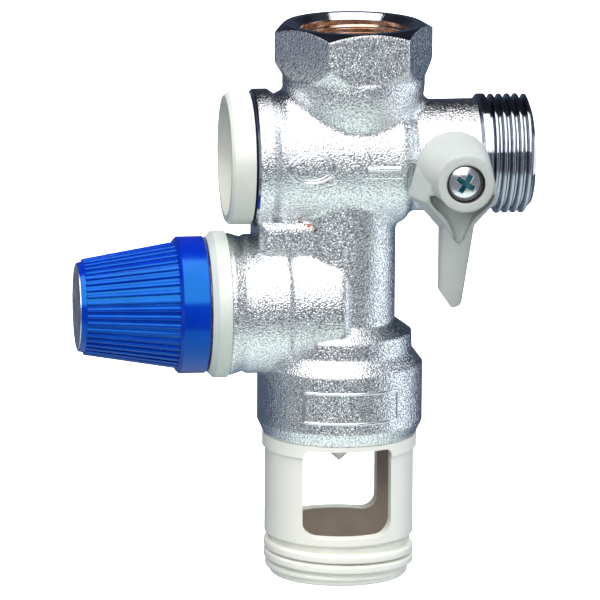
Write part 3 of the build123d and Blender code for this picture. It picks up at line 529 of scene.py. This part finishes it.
placed = tree_node(thread_tree, "GeometryNodeTransform", {"Geometry": ridge.outputs[0],
                                                          "Translation": given["Start"],
                                                          "Rotation": given["Direction"]})
finish_tree(thread_tree, placed.outputs[0], given["Material"])

ridge_out = (0.0, 0.0, math.radians(90))
ridge_in = (0.0, 0.0, math.radians(-90))
inlet_way = (0.0, math.radians(90), 0.0)
cream = finish("cream_plastic", 90.0, ((0.88, 0.89, 0.81), (0.92, 0.92, 0.85)), (0.34, 0.46),
               grain=(2600.0, 0.00003))
threads = {
    "inlet_thread": (turned, "plated_casting", {
        "Core radius": 0.01200, "Ridge height": 0.00120, "Foot width": 0.00176, "Crest width": 0.00052,
        "Edge round": 0.00018, "Pitch": 0.001814, "Turns": 4.75, "Fade turns": 0.25,
        "Profile turn": ridge_out, "Start": (0.0298, 0.0, barrel_z), "Direction": inlet_way}),
    "port_thread": (thread_brass, "plated_casting", {
        "Core radius": 0.01208, "Ridge height": 0.00050, "Foot width": 0.0013, "Crest width": 0.0004,
        "Edge round": 0.0001, "Pitch": 0.001814, "Turns": 7.3, "Fade turns": 0.3,
        "Profile turn": ridge_in, "Start": (0.0, 0.0, -0.0153)}),
    "outlet_thread": (cream, "cream_plastic", {
        "Core radius": 0.01525, "Ridge height": 0.00135, "Foot width": 0.0023, "Crest width": 0.0015,
        "Edge round": 0.0003, "Pitch": 0.002309, "Turns": 3.3, "Fade turns": 0.7,
        "Profile turn": ridge_out, "Start": (drain_x, 0.0, -0.1225)}),
}
for name, (material, record_slot, values) in threads.items():
    thread = grown(name, thread_tree, {**values, "Material": material})
    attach(thread, "casing")


# Inspection plug and tundish. Injection moulded in a cream plastic with a faint eggshell face.
# The plug screws into the barrel on a blue O-ring, and the tundish snaps into the skirt.

tundish_inside_brown = finish("tundish_inside_plastic", 120.0, ((0.33, 0.26, 0.21), (0.42, 0.34, 0.28)), (0.5, 0.6),
                 grain=(2200.0, 0.00003))
dress(cream, "tundish", "drip_nozzle")
# The plug gets a darker copy of the same cream: painted shade, so the plug shows dimmer than the tundish.
shaded_plug_cream = finish("shaded_plug_cream", 90.0, ((0.66, 0.68, 0.61), (0.71, 0.72, 0.66)), (0.34, 0.46),
                    grain=(2600.0, 0.00003))
dress(shaded_plug_cream, "inspection_plug")
# The tundish's inner faces, those that face its axis, take a darker brown plastic than its cream outside.
inner_wall = -0.9
tundish_mesh = nodes["tundish"].data
tundish_mesh.materials.append(tundish_inside_brown)
for face in tundish_mesh.polygons:
    outward = Vector((face.center.x - drain_x, face.center.y, 0.0)).normalized()
    if face.normal.dot(outward) < inner_wall:
        face.material_index = 1

blue_rubber = finish("blue_rubber", 200.0, ((0.001, 0.004, 0.05), (0.002, 0.008, 0.09)), (0.35, 0.5))
dress(blue_rubber, "plug_o_ring")


# Relief knob. Glossy royal blue plastic with ribs on its grip and a silver foil disc on its end.
# Its cam noses ride on the bonnet's ramps and lift the spindle when it is turned.

knob_blue = finish("knob_blue", 150.0, ((0.001, 0.018, 0.38), (0.001, 0.026, 0.48)), (0.12, 0.20),
                   grain=(2400.0, 0.000012))
feed_skin(knob_blue, {"Specular Tint": (0.08, 0.75, 1.0, 1.0), "Specular IOR Level": 0.9})
dress(knob_blue, "relief_knob")

foil = finish("silver_foil", 300.0, ((0.62, 0.64, 0.68), (0.86, 0.87, 0.89)), (0.2, 0.34),
              metallic=1.0, grain=(1500.0, 0.00003))
dress(foil, "knob_end_disc")


# Bonnet and its grey collar. The collar is moulded plastic with a soft sheen and hides the brass
# bonnet, of which only a glint shows in the dark gap beside the knob.

collar_grey = finish("collar_grey", 120.0, ((0.58, 0.64, 0.60), (0.66, 0.70, 0.66)), (0.38, 0.48),
                     grain=(2400.0, 0.00003))
dress(collar_grey, "bonnet_collar")

brass = finish("turned_brass", 250.0, ((0.64, 0.38, 0.15), (0.78, 0.52, 0.24)), (0.2, 0.34),
               metallic=1.0, grain=(300.0, 0.00001), stretch=(12.0, 1.0, 1.0))
dress(brass, "relief_bonnet", "spring_adjuster", "spring_plate", "relief_spindle", "relief_disc",
      "ball_retainer_ring", "lever_stem")


# Shut-off lever and its screw. The lever is warm grey plastic, moulded with a dished hollow under
# its hub. A zinc plated pan head screw with a cross recess holds it on the stem.

screw_seat_r = 0.0045
recess_r = 0.0023
recess_front = -0.0329
recess_floor = -0.0318
recess_wall_slope = 0.2
lever_grey = finish("lever_grey", 110.0, ((0.46, 0.49, 0.48), (0.52, 0.55, 0.53)), (0.40, 0.52),
                    grain=(2500.0, 0.00003), softness=0.0009)
gap_shade = finish("gap_shade", 300.0, ((0.02, 0.02, 0.02), (0.05, 0.045, 0.04)), (0.5, 0.7))
dress(lever_grey, "lever")
lever_mesh = nodes["lever"].data
# The lever's faces round the screw seat take the near-black gap_shade: painted shade in the gap round the
# screw.
lever_mesh.materials.append(gap_shade)
for face in lever_mesh.polygons:
    if math.hypot(face.center.x - lever_x, face.center.z - barrel_z) < screw_seat_r:
        face.material_index = 1

screw_zinc = finish("screw_zinc", 400.0, ((0.74, 0.79, 0.82), (0.86, 0.88, 0.90)), (0.1, 0.2),
                    metallic=1.0, grain=(1800.0, 0.00001))
dress(screw_zinc, "lever_screw", "knob_screw")
# The faces inside the cross recess take a dark teal colour: painted shade in the recess.
recess_painted_shade = finish("recess_painted_shade", 600.0, ((0.02, 0.15, 0.20), (0.10, 0.34, 0.40)), (0.2, 0.4),
                     metallic=1.0)
screw_mesh = nodes["lever_screw"].data
screw_mesh.materials.append(recess_painted_shade)
for face in screw_mesh.polygons:
    middle = face.center
    from_centre = math.hypot(middle.x - lever_x, middle.z - barrel_z)
    sunk = middle.y > recess_front or abs(face.normal.y) < recess_wall_slope
    if sunk and middle.y < recess_floor and from_centre < recess_r:
        face.material_index = 1


# Inner pieces. A chromed brass ball between white plastic seats, black rubber seals, steel wire
# springs and the black plastic check valve. They show only through the openings. Each spring is
# shown as a welded copy, fastened to the casing in place of the hidden imported one.

ball_chrome = finish("ball_chrome", 200.0, ((0.78, 0.80, 0.83), (0.86, 0.87, 0.89)), (0.05, 0.12),
                     metallic=1.0)
dress(ball_chrome, "shutoff_ball")
seat_white = finish("seat_white", 200.0, ((0.80, 0.80, 0.76), (0.88, 0.88, 0.85)), (0.35, 0.45))
dress(seat_white, "ball_seat_inner", "ball_seat_outer", "stem_washer")
seal_black = finish("seal_black", 300.0, ((0.015, 0.015, 0.016), (0.03, 0.03, 0.032)), (0.45, 0.6),
                    grain=(2000.0, 0.00003))
dress(seal_black, "stem_o_rings", "check_valve_seal", "check_valve_o_ring", "relief_seal", "relief_diaphragm")
weld_gap = 0.000001
spring_wire = finish("spring_wire", 500.0, ((0.55, 0.55, 0.56), (0.68, 0.68, 0.68)), (0.2, 0.32),
                     metallic=1.0)
dress(spring_wire, "check_valve_spring", "relief_spring")
springs = {"check_valve_spring": ("check_lift", -0.0034, 0.0035),
           "relief_spring": ("relief_lift", -0.0404, 0.0016)}
for name, (joint, fixed_x, travel) in springs.items():
    coil_mesh = nodes[name].data.copy()
    welded = bmesh.new()
    welded.from_mesh(coil_mesh)
    bmesh.ops.remove_doubles(welded, verts=welded.verts, dist=weld_gap)
    welded.to_mesh(coil_mesh)
    welded.free()
    coil = bpy.data.objects.new(name + "_coil", coil_mesh)
    scene.collection.objects.link(coil)
    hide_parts(name)
    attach(coil, "casing")
    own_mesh(coil)
valve_black = finish("valve_plastic", 200.0, ((0.08, 0.08, 0.09), (0.12, 0.12, 0.13)), (0.35, 0.45))
dress(valve_black, "check_valve_cage", "check_valve_guide", "check_valve_poppet")
